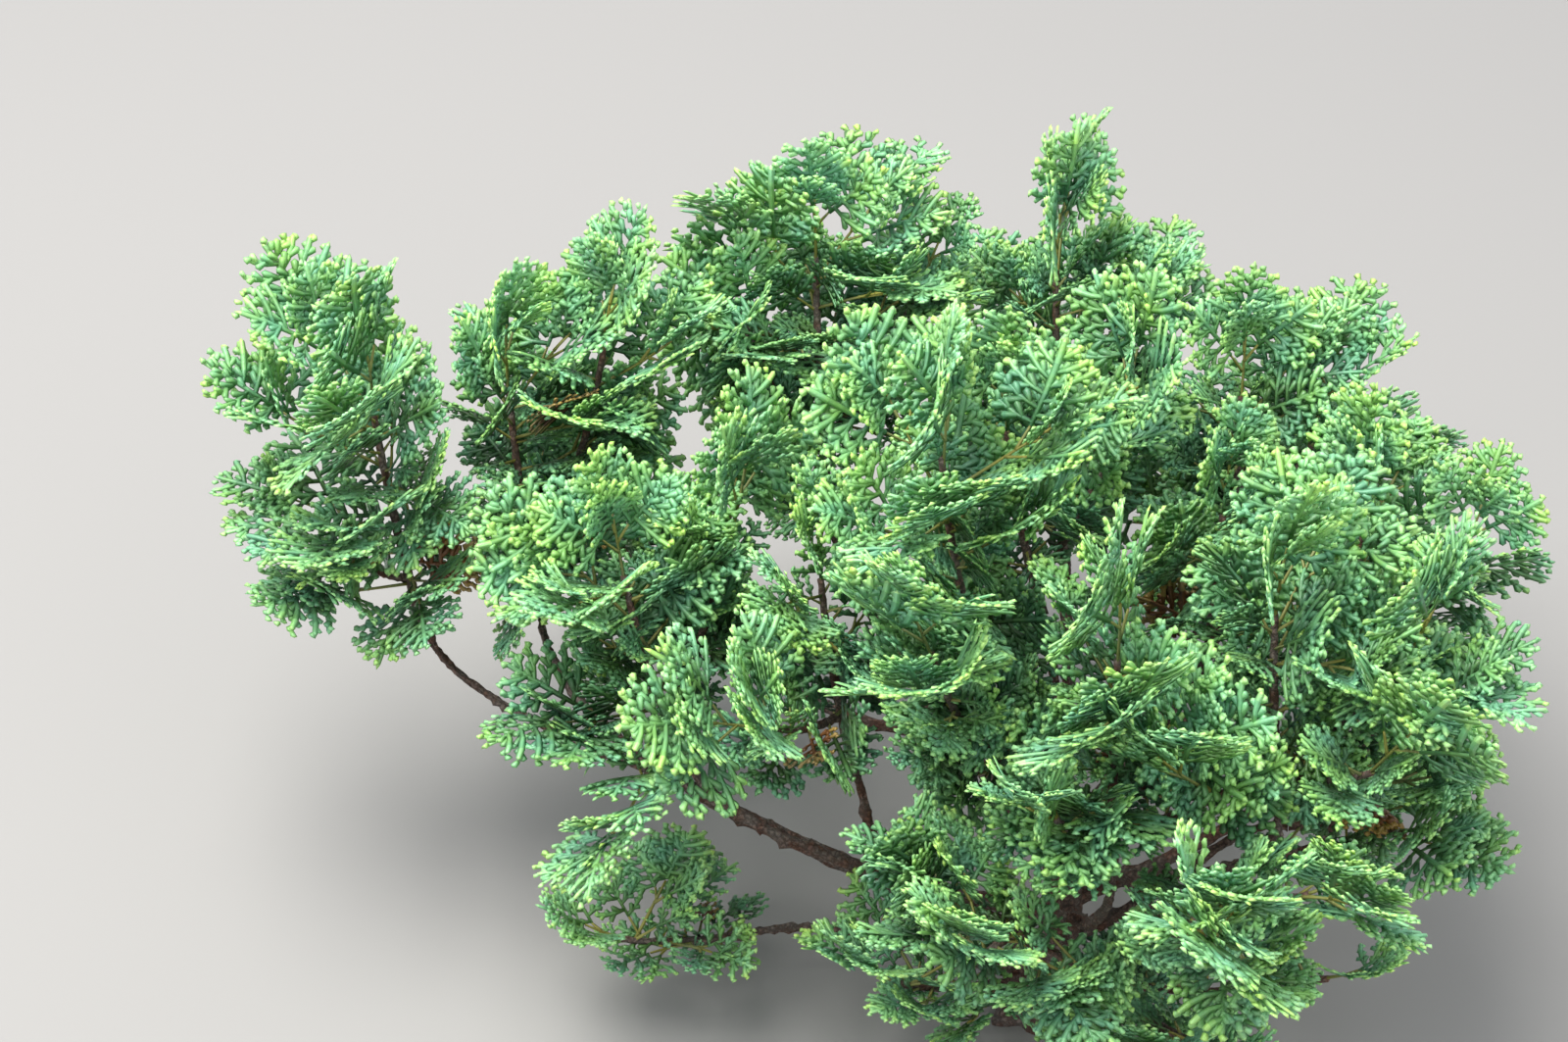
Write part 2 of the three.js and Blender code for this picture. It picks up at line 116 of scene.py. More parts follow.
# Each mass of foliage: the bearing, reach and height where its stem starts, the limb that its
# own bough leaves and at what share of it, the shoots (bearing, climb, length), seed and size
Mass = namedtuple("Mass", "name bearing reach height root shoots seed size")
MASSES = (
    Mass("far_left", 158, 222, 104, ("left_front", 0.68), ((114, 62, 74), (196, 34, 24)), 1, 1),
    Mass("left_tall", 152, 187, 98, ("trunk", 0.3), ((104, 57, 80), (54, 60, 84)), 5, 1),
    Mass("left_front", 166, 120, 92, ("trunk", 0.5),
         ((126, 60, 60), (58, 52, 64), (256, -4, 32)), 11, 1),
    Mass("middle", 158, 66, 98, ("left_front", 0.42), ((108, 58, 54), (236, 30, 44)), 11, 1),
    Mass("centre_top", 0, 0, TRUNK_HEIGHT, None, ((140, 70, 136), (232, 58, 96)), 6, 1),
    Mass("centre_back", 86, 72, 112, ("trunk", 0.93), ((114, 60, 64), (46, 48, 62)), 8, 1),
    Mass("back_left_top", 116, 154, 118, ("trunk", 0.8),
         ((95, 58, 78), (44, 44, 68), (146, 50, 56)), 5, 1),
    Mass("back_right_top", 84, 160, 108, ("trunk", 0.68),
         ((94, 58, 70), (40, 44, 48), (108, 8, 44)), 3, 1),
    Mass("right_back", 57, 138, 104, ("trunk", 0.87), ((88, 54, 54), (30, 40, 38)), 11, 1),
    Mass("right_middle", 38, 72, 98, ("right_back", 0.42), ((80, 52, 62), (344, 46, 44)), 9, 1),
    Mass("far_right", 22, 110, 104, ("trunk", 0.6), ((78, 58, 54), (18, 44, 52)), 4, 1),
    Mass("front_right", 336, 78, 122, ("trunk", 0.74),
         ((95, 62, 60), (10, 46, 52), (316, 32, 40)), 4, 1),
    Mass("right_edge", 348, 92, 98, ("front_right", 0.7), ((52, 54, 46), (304, 24, 32)), 6, 1),
    Mass("right_low", 14, 88, 64, ("trunk", 0.4), ((352, 16, 30), (54, 14, 46)), 11, 1),
    Mass("front_centre", 296, 46, 106, ("trunk", 0.56),
         ((92, 72, 68), (340, 38, 44), (232, 40, 44)), 6, 1),
    Mass("front_low", 262, 50, 92, ("front_centre", 0.34),
         ((244, 22, 38), (178, 34, 32), (316, 0, 28)), 2, 1),
    Mass("front_right_tier", 304, 66, 110, ("front_right", 0.46),
         ((280, 24, 48), (340, 20, 42)), 1, 1),
    Mass("low_front", 300, 40, 46, ("trunk", 0.44), ((308, 14, 52), (256, 10, 48)), 8, 0.85),
    Mass("low_right", 322, 60, 66, ("front_right", 0.26), ((328, 12, 48),), 5, 0.85),
    Mass("low_left", 172, 94, 22, ("trunk", 0.16), ((190, 6, 44),), 4, 0.6),
    Mass("foot_left", 200, 0, 14, None, ((208, 22, 62),), 6, 0.7),
    Mass("foot_right", 345, 0, 18, None, ((336, 12, 62),), 1, 0.7),
    Mass("back_left_low", 134, 172, 72, ("back_left_top", 0.36), ((128, 20, 50),), 2, 1),
    Mass("back_right_low", 62, 146, 62, ("trunk", 0.46), ((50, 20, 50), (104, 12, 50)), 5, 1),
)


def seeded(seed):
    """Draws that are the same each run: each state is the last one times a factor, modulo a
    prime, and a draw is that share of the way from its lowest to its highest value."""
    state = seed * SEED_SPREAD

    def draw(low, high):
        nonlocal state
        state = state * DRAW_FACTOR % DRAW_MODULUS
        return low + (high - low) * state / DRAW_MODULUS

    return draw


def unit(vectors):
    """Vectors over their lengths."""
    return vectors / np.linalg.norm(vectors, axis=-1, keepdims=True)


def blend(low, high, share):
    """The value at a share of the way from low to high."""
    return low + (high - low) * share


def heading(bearing, climb):
    """The unit vector on a bearing round the trunk, with a climb above level."""
    b, c = math.radians(bearing), math.radians(climb)
    return np.array([math.cos(b) * math.cos(c), math.sin(b) * math.cos(c), math.sin(c)])


def flat_way(angle):
    """The unit vector in a plane, at an angle in radians."""
    return np.array([math.cos(angle), math.sin(angle)])


def angles_round(sides):
    """Equal steps of angle once round a limb, in radians."""
    return np.linspace(0, 2 * math.pi, sides, endpoint=False)


def turned(vector, axis, degrees):
    """The vector turned about a unit axis: its part along the axis stays, and the rest turns
    towards the axis's cross product with it."""
    a = math.radians(degrees)
    return (vector * math.cos(a) + np.cross(axis, vector) * math.sin(a)
            + axis * (axis @ vector) * (1 - math.cos(a)))


def bezier(controls, share):
    """Points on a Bezier curve: neighbouring controls are blended until one is left."""
    share = np.asarray(share, float)[..., None]
    points = [np.asarray(c, float) for c in controls]
    while len(points) > 1:
        points = [blend(p, q, share) for p, q in zip(points, points[1:])]
    return points[0]


def trunk_middle(share):
    """The trunk's middle line: a cubic through its bends, with each slope set by its neighbours
    and by the root of the way to them."""
    knots = np.array(TRUNK_BENDS, float) * (1, 1, TRUNK_HEIGHT)
    knots = np.vstack([2 * knots[0] - knots[1], knots, 2 * knots[-1] - knots[-2]])
    spans = len(TRUNK_BENDS) - 1
    share = np.asarray(share, float)
    span = np.minimum((share * spans).astype(int), spans - 1)
    t = (share * spans - span)[..., None]
    before, start, end, after = (knots[span + i] for i in range(4))
    step = [np.sqrt(np.linalg.norm(q - p, axis=-1, keepdims=True))
            for p, q in ((before, start), (start, end), (end, after))]
    leave = step[1] * ((start - before) / step[0] - (end - before) / (step[0] + step[1])
                       + (end - start) / step[1])
    arrive = step[1] * ((end - start) / step[1] - (after - start) / (step[1] + step[2])
                        + (after - end) / step[2])
    return (start + leave * t + (3 * (end - start) - 2 * leave - arrive) * t ** 2
            + (2 * (start - end) + leave + arrive) * t ** 3)


def tangent(curve, share):
    """The unit way along a curve, from two points close to each other on it."""
    share = np.asarray(share, float)
    return unit(curve(np.minimum(share + 1e-4, 1)) - curve(np.maximum(share - 1e-4, 0)))


def length(curve):
    """A curve's length, as that of 200 straight pieces."""
    return np.linalg.norm(np.diff(curve(np.linspace(0, 1, 201)), axis=0), axis=1).sum()


Limb = namedtuple("Limb", "curve root tip")  # a curve, and its radius at its foot and its tip


def shoot_limb(start, bearing, climb, reach, root):
    """A shoot: a Bezier curve that climbs more steeply towards its tip."""
    controls = (start, start + heading(bearing, climb - SHOOT_BEND) * reach / 2,
                start + heading(bearing, climb) * reach)
    return Limb(functools.partial(bezier, controls), root, SHOOT_TIP_RADIUS)


def bough_limb(carrier, share, carrier_radius, mass, foot):
    """A bough: a Bezier curve that leaves its carrier at a wide angle and arrives in line with
    its mass's first shoot."""
    start = carrier(share)
    along = tangent(carrier, share)
    span = foot - start
    size = np.linalg.norm(span)
    away = span / size
    away = unit(away - BOUGH_OUTWARD * (away @ along) * along)
    arrival = heading(mass.shoots[0][0], mass.shoots[0][1] - SHOOT_BEND)
    curve = functools.partial(bezier, (start, start + away * size * BOUGH_LEAVE,
                                       foot - arrival * size * BOUGH_ARRIVE, foot))
    root = min(BOUGH_TIP_RADIUS + length(curve) * BOUGH_TAPER, carrier_radius * FORK_SHARE)
    return Limb(curve, root, min(root, BOUGH_TIP_RADIUS))


def lay_out():
    """Where every bough and shoot runs, parents first: the boughs by mass, and each mass's
    shoots."""
    boughs, shoots = {}, {}
    waiting = list(MASSES)
    while waiting:
        mass = waiting.pop(0)
        parent, share = mass.root or ("trunk", mass.height / TRUNK_HEIGHT)
        if parent != "trunk" and parent not in boughs:
            waiting.append(mass)
            continue
        carrier = trunk_middle if parent == "trunk" else boughs[parent].curve
        foot = carrier(share)
        if mass.root:
            radius = TRUNK_TOP_RADIUS
            if parent != "trunk":
                radius = blend(boughs[parent].root, BOUGH_TIP_RADIUS, share)
            end = heading(mass.bearing, 0) * mass.reach + np.array([0, 0, mass.height])
            boughs[mass.name] = bough_limb(carrier, share, radius, mass, end)
            foot = end + tangent(boughs[mass.name].curve, 1) * GAP
        limbs = [shoot_limb(foot, *mass.shoots[0], BOUGH_TIP_RADIUS)]
        fork = limbs[0].curve(SHOOT_FORK)
        limbs += [shoot_limb(fork, *shoot, SHOOT_RADIUS) for shoot in mass.shoots[1:]]
        shoots[mass.name] = limbs
    return boughs, shoots


class Spray:
    """A twig and the sheet that spreads from its end, the hub. along, across and out are the
    ways along the sheet's middle, across it and out of its upper face; cup bends it across its
    width and curl along its length."""

    def __init__(self, root, along, twist, twig, reach, random):
        self.root, self.along = root, along
        self.hub = root + along * twig
        up = np.array([0, 0, 1.0])
        self.out = turned(unit(up - along * along[2]), along, twist)
        self.across = np.cross(self.out, along)
        self.reach = reach * random(*SPRAY_SIZES)
        self.cup = random(*SPRAY_CUPS)
        self.curl = random(*SPRAY_CURLS)

    def turn(self, size, degrees):
        """The same spray at another size, with its sheet turned about its twig."""
        made = copy.copy(self)
        made.out = turned(self.out, self.along, degrees)
        made.across = np.cross(made.out, self.along)
        made.reach = self.reach * size
        return made

    def at(self, a, b):
        """Points on the sheet, a along it and b across it. Its rise is the cup times b squared
        and the curl times a squared, over the reach."""
        rise = (self.cup * b ** 2 + self.curl * a ** 2) / self.reach
        return (self.hub + a[..., None] * self.along + b[..., None] * self.across
                + rise[..., None] * self.out)

    def samples(self):
        """Points spread over the twig and the sheet, to tell how clear they are of others."""
        share, turn = np.meshgrid(SAMPLE_SHARES, SAMPLE_TURNS)
        angle = math.radians(SPRAY_HALF_ANGLE) * turn
        reach = self.reach * (1 - SPRAY_SIDE_LOSS * turn ** 2) * share
        sheet = self.at(reach * np.cos(angle), reach * np.sin(angle)).reshape(-1, 3)
        return np.vstack([blend(self.root, self.hub, 0.6), self.hub, sheet])


class Room:
    """Tells whether points are nearer to their own mass's shoots than to any other's, and clear
    of the limbs and of the ground."""

    def __init__(self, boughs, shoots):
        self.names = [mass.name for mass in MASSES]
        lines = [limb.curve(np.linspace(0, 1, SHOOT_PIECES + 1))
                 for name in self.names for limb in shoots[name]]
        self.shoot_pieces = self.pieces(lines)
        self.owners = np.repeat(np.arange(len(MASSES)),
                                [SHOOT_PIECES * len(shoots[name]) for name in self.names])
        lines = [limb.curve(np.linspace(0, 1, BOUGH_PIECES + 1)) for limb in boughs.values()]
        lines.append(trunk_middle(np.linspace(0, 1, TRUNK_PIECES + 1)))
        self.limb_pieces = self.pieces(lines)
        self.limb_radii = np.repeat([limb.root for limb in boughs.values()] + [TRUNK_FOOT_RADIUS],
                                    [len(line) - 1 for line in lines])

    @staticmethod
    def pieces(lines):
        """The starts and the ends of the straight pieces of lines of points."""
        return (np.vstack([line[:-1] for line in lines]), np.vstack([line[1:] for line in lines]))

    @staticmethod
    def distances(points, pieces):
        """From each point to each straight piece: to its nearest point, held between its ends."""
        start, end = pieces
        span = end - start
        to_point = points[:, None] - start
        share = np.clip((to_point * span).sum(2) / (span ** 2).sum(1), 0, 1)
        return np.linalg.norm(to_point - share[..., None] * span, axis=2)

    def holds(self, points, mass):
        """Whether all the points are in the mass's own space and clear of all else."""
        if (points[:, 2] <= CLEAR_OF_GROUND).any():
            return False
        near = self.distances(points, self.shoot_pieces)
        own = self.owners == self.names.index(mass.name)
        if (near[:, own].min(1) + CLEAR_OF_SPACES >= near[:, ~own].min(1)).any():
            return False
        near = self.distances(points, self.limb_pieces)
        return bool((near > self.limb_radii + CLEAR_OF_LIMBS).all())


def fit(spray, mass, room, grown, habit):
    """Turns and shrinks a spray until it finds room, or gives None."""
    if not room.holds(spray.samples()[:2], mass):
        return None
    for size in habit.sizes:
        for degrees in habit.turns:
            tried = spray.turn(size, degrees)
            points = tried.samples()
            if grown and (np.linalg.norm(points[:, None] - np.vstack(grown), axis=2)
                          <= habit.clear).any():
                continue
            if room.holds(points, mass):
                grown.append(points)
                return tried
    return None


def grow_shoot(mass, limb, random, room, grown, habit):
    """The sprays of one shoot, from its tip down, each with its share of the way up the shoot.
    The first goes straight on and the rest turn round the shoot by the golden angle."""
    curve = limb.curve
    count = max(2, math.floor(length(curve) / habit.spacing + 0.5))
    leader = tangent(curve, 1)
    level = unit(np.cross((0, 0, 1.0), leader))
    leader = turned(leader, level, random(*LEADER_TURN))
    reach = habit.reach * mass.size
    sprays = [(1.0, Spray(curve(LEADER_SHARE), leader, random(*LEADER_TWIST), habit.twig / 2,
                          reach, random))]
    bearing = random(0, 360)
    for k in range(count):
        share = blend(*TWIG_SHARES, k / (count - 1))
        climb = blend(*TWIG_CLIMB, share) + random(*TWIG_CLIMB_STRAY)
        bearing += GOLDEN_ANGLE + random(*TWIG_TURN_STRAY)
        twist = random(*TWIG_TWIST)
        twig = habit.twig * random(*TWIG_SIZES)
        sprays.append((share, Spray(curve(share), heading(bearing, climb), twist, twig, reach,
                                    random)))
    fitted = [(share, fit(spray, mass, room, grown, habit)) for share, spray in sprays]
    return [(share, spray) for share, spray in fitted if spray]


@functools.cache
def grow():
    """The whole plant: its boughs and shoots, and each mass's sprays. The large ones come first,
    as in the solids, then fine and tiny ones grow in the room that they leave."""
    boughs, shoots = lay_out()
    room = Room(boughs, shoots)
    large, small = {}, {}
    for mass in MASSES:
        grown = []
        for sprays, seed, habit in ((large, mass.seed, LARGE),
                                    (small, mass.seed + FINE_SEED, FINE),
                                    (small, mass.seed + TINY_SEED, TINY)):
            random = seeded(seed)
            for limb in shoots[mass.name]:
                sprays.setdefault(mass.name, []).extend(
                    grow_shoot(mass, limb, random, room, grown, habit))
    return boughs, shoots, large, small


# A spray's sheet holds several fans. Each row is the share of the reach at which a fan's stalk
# leaves the sheet's middle line, the stalk's turn and share, the fan's turn and share, and how
# far it tips out of the sheet
LARGE_FANS = (
    (0.44, 0, 0.02, 0, 0.56, 0),
    (0.10, 38, 0.18, 42, 0.60, 6),
    (0.18, -38, 0.18, -42, 0.58, 8),
    (0.26, 6, 0.10, 10, 0.46, 34),
)
MIDDLE_FANS = (
    (0.32, 0, 0.02, 0, 0.66, 0),
    (0.05, 36, 0.14, 48, 0.62, 8),
    (0.10, -36, 0.14, -50, 0.60, 10),
)
LARGE_FANS_FROM = 34  # millimetres of reach
MIDDLE_FANS_FROM = 23

# Fans, one row of each array for each fan. The tint of a live fan is where its greens start
Fans = namedtuple("Fans", "hub along across out reach cup curl tint kind")
# A fan's looks go by its light, from about 0 deep inside the plant to 1 at the tips of its shoots:
# where the tint goes up by one, and which fans may be dead or are bright. The tint paints shade: a
# fan with less light starts on darker greens
SHADE_TINT_STEPS = (0.34, 0.62)
DEAD = 3  # the tint of a dead fan
DEAD_BELOW = 0.45
DEAD_CHANCE = 0.03
BRIGHT_ABOVE = 0.55
BRIGHT_CUPS = (0, 0.5)
DARK_CUPS = (-0.45, 0.15)
CURLS = (-0.34, 0.1)
FAN_TURN_STRAY = (-6, 6)
LEAN = (10, 34)  # how far a fan's face is turned up
LIGHT_STRAY = (-0.15, 0.15)
STALK_STEPS = np.linspace(0, 1, 6)
SHORTEST_STALK = 1.5


def fans_of(mass, plant, rng):
    """The fans of one mass and their stalks. Large sprays hold three or four fans, and small
    ones are one fan. Fans near a shoot's tip are bright and cupped, and those near its foot are
    dark, with painted shade, and droop, and a few of these are dead. A stalk runs straight or
    bends to its fan."""
    large, small = plant[2:]
    rows, stalks = [], []

    def place(hub, along, out, reach, light):
        along = unit(along)
        out = unit(out - (out @ along) * along)
        # the tint sets the painted shade: the less light, the darker the greens that the fan
        # starts on
        tint = sum(light > step for step in SHADE_TINT_STEPS)
        if light < DEAD_BELOW and rng.random() < DEAD_CHANCE:
            tint = DEAD
        cup = rng.uniform(*(BRIGHT_CUPS if light > BRIGHT_ABOVE else DARK_CUPS))
        rows.append((hub, along, np.cross(out, along), out, reach, cup, rng.uniform(*CURLS), tint,
                     rng.integers(PATTERNS) + PATTERNS * (reach < FULL_FANS_FROM)))

    for share, spray in large[mass.name]:
        reach = spray.reach
        plan = ((0, 0, 0, 0, 1, 0),)
        if reach > MIDDLE_FANS_FROM:
            plan = LARGE_FANS if reach > LARGE_FANS_FROM else MIDDLE_FANS
        mirror = 1 if rng.random() < 0.5 else -1
        ends = []
        for leave, stalk_turn, stalk, fan_turn, size, tipped in plan:
            foot = np.array([leave, 0.0]) * reach
            hub = foot + stalk * reach * flat_way(math.radians(stalk_turn * mirror))
            fan_turn += rng.uniform(*FAN_TURN_STRAY)
            ahead = hub + flat_way(math.radians(fan_turn * mirror))
            at_foot, at_hub, at_ahead = spray.at(*np.array([foot, hub, ahead]).T)
            along = unit(at_ahead - at_hub)
            along = unit(along + math.tan(math.radians(tipped)) * spray.out)
            turn = rng.uniform(*LEAN)
            out = max((turned(spray.out, along, turn), turned(spray.out, along, -turn)),
                      key=lambda way: way[2])
            ends.append((at_foot, at_hub))
            # more light further up the shoot and further out on the sheet, so less painted shade
            light = 0.25 + 0.55 * share + 0.2 * (leave + stalk) + rng.uniform(*LIGHT_STRAY)
            place(at_hub, along, out, size * reach, light)
        if len(plan) == 1:
            stalks.append(bezier((spray.root, spray.hub), STALK_STEPS))
            continue
        spine = spray.at(np.linspace(0, plan[0][0] * reach, 4), np.zeros(4))
        stalks.append(np.vstack([spray.root, blend(spray.root, spray.hub, 0.5), spine]))
        stalks += [bezier((foot, blend(foot, hub, 0.5), hub), STALK_STEPS)
                   for foot, hub in ends if np.linalg.norm(hub - foot) > SHORTEST_STALK]
    for share, spray in small[mass.name]:
        light = 0.1 + 0.5 * share + rng.uniform(*LIGHT_STRAY)
        place(spray.hub, spray.along, spray.out, spray.reach, light)
        stalks.append(bezier((spray.root, spray.hub), STALK_STEPS))
    return Fans(*(np.array(column) for column in zip(*rows))), np.array(stalks)


PATTERNS = 5  # of each detail
FULL_FANS_FROM = 18  # millimetres of reach; smaller fans take a plainer pattern
FULL_WIDTH_REACH = 28  # millimetres of reach at which branchlets are as wide as the sizes say
# How many branches leave a fan's axis, and lobes a branch as long as the fan's reach
Detail = namedtuple("Detail", "branches lobes")
FULL = Detail(10, 10)
PLAIN = Detail(7, 7)
# Shares of the axis where the first branch and the last leave it, and the angles from it at which
# they end; then how far they go towards the rim, and how much wider than that they set out
BRANCH_STARTS = (0.04, 0.76)
BRANCH_ANGLES = (68, 12)
BRANCH_ANGLE_STRAY = (-4, 4)
BRANCH_SIZES = (0.93, 1)
BRANCH_SPREAD = 16
# The same for a branch's lobes, and for those of the axis
LOBE_STARTS = (0.17, 0.88)
LOBE_START_STRAY = (-0.03, 0.03)
LOBE_ANGLES = (28, 42)
LOBE_LENGTHS = (0.27, 0.09)
LOBE_SIZES = (0.85, 1.15)
AXIS_LOBES = 6
AXIS_LOBE_STARTS = (0.42, 0.93)
SIDES = 3  # of a branchlet's section: its left and right edges and its keel
# The shares of a branchlet's length where its rings are, before its tip, and their widths
Rings = namedtuple("Rings", "shares widths")
BRANCH = Rings(np.array([0, 0.36, 0.7, 0.93]), np.array([0.7, 0.85, 1, 0.85]))
LOBE = Rings(np.array([0, 0.8]), np.array([0.78, 1.16]))
Pattern = namedtuple("Pattern", "points sizes groups starts depth rings")
# How a fan departs from its sheet: waves round it and their height, the tilt of its branches, and
# the rise and roll of each branchlet, in shares of the reach, of a length or in radians
RUFFLE_WAVES = (2.5, 4.5)
RUFFLE = (0.03, 0.08)
BRANCH_TILT = (-0.06, 0.06)
FRILL = (-0.06, 0.06)
ROLL = (-0.16, 0.16)


def rim(angle):
    """How far a fan of unit reach goes at an angle from its middle: 1 less the side loss times
    the square of the angle over the half angle."""
    turn = np.minimum(np.abs(np.degrees(angle)) / SPRAY_HALF_ANGLE, 1.25)
    return 1 - SPRAY_SIDE_LOSS * turn ** 2


def fan_pattern(detail, rng):
    """One flat fan of unit reach. An axis runs to the middle of the rim. Branches leave it by
    turns to left and right, wide at first, and run to the rim. Short lobes leave them in the same
    way, shorter towards their tips, and stay inside it."""
    branches = [((0, 0), (0.5, rng.uniform(-0.03, 0.03)), (1, 0))]
    lobes, owners = [], []
    side = rng.choice((-1, 1))
    for k in range(detail.branches):
        up = k / (detail.branches - 1)
        side = -side
        start = np.array([blend(*BRANCH_STARTS, up), 0])
        angle = side * math.radians(blend(*BRANCH_ANGLES, up ** 0.85)
                                    + rng.uniform(*BRANCH_ANGLE_STRAY))
        end = rim(angle) * rng.uniform(*BRANCH_SIZES) * flat_way(angle)
        reach = np.linalg.norm(end - start)
        leave = math.atan2(end[1], end[0] - start[0]) + side * math.radians(BRANCH_SPREAD)
        bend = start + 0.5 * reach * flat_way(leave)
        branches.append((start, bend, end))
        count = max(3, round(detail.lobes * reach))
        for j in range(count):
            share = blend(*LOBE_STARTS, j / (count - 1)) + rng.uniform(*LOBE_START_STRAY)
            lobes.append(fan_lobe(branches[-1], share, side if j % 2 else -side, reach, rng))
            owners.append(k + 1)
    for j in range(AXIS_LOBES):
        share = blend(*AXIS_LOBE_STARTS, j / (AXIS_LOBES - 1))
        lobes.append(fan_lobe(branches[0], share, 1 if j % 2 else -1, 0.6, rng))
        owners.append(0)
    starts = [branch[0] for branch in branches]
    return (pattern_of(branches, range(len(branches)), starts, BRANCH),
            pattern_of(lobes, owners, [starts[k] for k in owners], LOBE))


def fan_lobe(branch, share, side, reach, rng):
    """A lobe that leaves a branch at that share of it, on that side. It is the shorter, the
    nearer it is to the branch's tip, and is cut back until it stays inside the rim."""
    foot = bezier(branch, share)
    way = tangent(functools.partial(bezier, branch), share)
    way = flat_way(math.atan2(way[1], way[0]) + side * math.radians(rng.uniform(*LOBE_ANGLES)))
    size = blend(*LOBE_LENGTHS, share) * (0.5 + 0.5 * reach) * rng.uniform(*LOBE_SIZES)
    for _ in range(6):
        end = foot + size * way
        over = np.linalg.norm(end) / rim(math.atan2(end[1], end[0]))
        size *= 1 if over < 1 else 0.85
    middle = foot + 0.5 * size * way + 0.06 * size * np.array([-way[1], way[0]])
    return foot, middle, foot + size * way


def pattern_of(curves, owners, starts, rings):
    """The curves as points at their rings and tips. depth is how far each segment lies on the
    way from the hub to the rim."""
    shares = np.append(rings.shares, 1)
    points = np.array([bezier(curve, shares) for curve in curves])
    sizes = np.linalg.norm(points[:, -1] - points[:, 0], axis=1)
    middles = blend(points[:, :-1], points[:, 1:], 0.5)
    depth = np.linalg.norm(middles, axis=2) / rim(np.arctan2(middles[..., 1], middles[..., 0]))
    return Pattern(points, sizes, np.array(owners), np.array(starts, float), depth, rings)


def spread_fans(pattern, fans, tilt, width, thickness, rng):
    """Corners of a batch of fans that share a pattern. A flat point (a, b) lies at hub + reach
    times (a along + b across + h out), where h is the cup times b squared, the curl times a
    squared, a ruffle that waves round the fan and grows with the way from the hub squared, a
    tilt for each branch and a frill that grows along each branchlet. Each ring has a corner at
    either edge of the branchlet and one on its keel, and its tip is one point. Its width goes with
    the root of the reach."""
    count = len(fans.hub)
    a, b = pattern.points[..., 0], pattern.points[..., 1]
    each = (count, 1, 1)
    wave, phase = rng.uniform(*RUFFLE_WAVES, each), rng.uniform(0, 2 * math.pi, each)
    ruffle = rng.uniform(*RUFFLE, each) * np.sin(wave * np.arctan2(b, a) + phase)
    from_start = np.linalg.norm(pattern.points - pattern.starts[:, None], axis=2)
    frill = rng.uniform(*FRILL, (count, len(a), 1)) * pattern.sizes[:, None]
    shares = np.append(pattern.rings.shares, 1)
    cup, curl = fans.cup[:, None, None], fans.curl[:, None, None]
    rise = (cup * b ** 2 + curl * a ** 2 + ruffle * (a ** 2 + b ** 2)
            + tilt[:, pattern.groups, None] * from_start + frill * shares ** 2)

    def ways(name):
        return getattr(fans, name)[:, None, None]

    middle = ways("hub") + fans.reach[:, None, None, None] * (
        a[..., None] * ways("along") + b[..., None] * ways("across")
        + rise[..., None] * ways("out"))
    lean_a, lean_b = 2 * curl * a, 2 * cup * b
    normal = unit(ways("out") - lean_a[..., None] * ways("along")
                  - lean_b[..., None] * ways("across"))
    along = np.gradient(middle, axis=2)
    side = unit(np.cross(normal, along))
    normal = unit(np.cross(along, side))
    roll = rng.uniform(*ROLL, (count, len(a), 1, 1))
    side, normal = (side * np.cos(roll) + normal * np.sin(roll),
                    normal * np.cos(roll) - side * np.sin(roll))
    grow = np.sqrt(fans.reach / FULL_WIDTH_REACH)[:, None, None, None]
    widths = pattern.rings.widths[:, None]
    wide = side[:, :, :-1] * (width / 2 * widths) * grow
    thick = normal[:, :, :-1] * (thickness / 2 * widths) * grow
    centre = middle[:, :, :-1]
    rings = np.stack([centre + wide, centre + thick, centre - wide], axis=3)
    return np.concatenate([rings.reshape(count, len(a), -1, 3), middle[:, :, -1:]], axis=2)


def branchlet_faces(rings):
    """The quads and triangles of one branchlet: quads between each pair of rings, a triangle
    that closes its foot and three to its tip. With each array goes the segment of each face."""
    rings = len(rings.shares)
    quads, foot, _ = tube_faces(rings, SIDES)
    last, tip = SIDES * (rings - 1), SIDES * rings
    triangles = [foot] + [(last + j, last + (j + 1) % SIDES, tip) for j in range(SIDES)]
    return (quads, np.arange(rings - 1).repeat(SIDES),
            np.array(triangles), np.array([0] + [rings - 1] * SIDES))


def tube_faces(rings, sides):
    """Quads of a tube of rings, and the two polygons that close its ends."""
    j = np.arange(sides)
    low = np.arange(rings - 1)[:, None] * sides
    quads = np.stack([low + j, low + (j + 1) % sides, low + sides + (j + 1) % sides,
                      low + sides + j], axis=2).reshape(-1, 4)
    return quads, j[::-1], (rings - 1) * sides + j


def tube_points(paths, radii, sides):
    """Corners of tubes along paths of points: at each point a ring of that radius, square to the
    path. Each ring starts from the level direction square to the path's whole span."""
    along = unit(np.gradient(paths, axis=-2))
    span = unit(paths[..., -1:, :] - paths[..., :1, :])
    level = np.cross(span, (0, 0, 1.0))
    level = unit(level + (np.linalg.norm(level, axis=-1, keepdims=True) < 1e-3) * (1.0, 0, 0))
    level = unit(level - (level * along).sum(-1, keepdims=True) * along)
    square = np.cross(along, level)
    turn = angles_round(sides)[:, None]
    ring = level[..., None, :] * np.cos(turn) + square[..., None, :] * np.sin(turn)
    return paths[..., None, :] + ring * np.broadcast_to(radii, paths.shape[:-1] + (sides,))[
        ..., None]


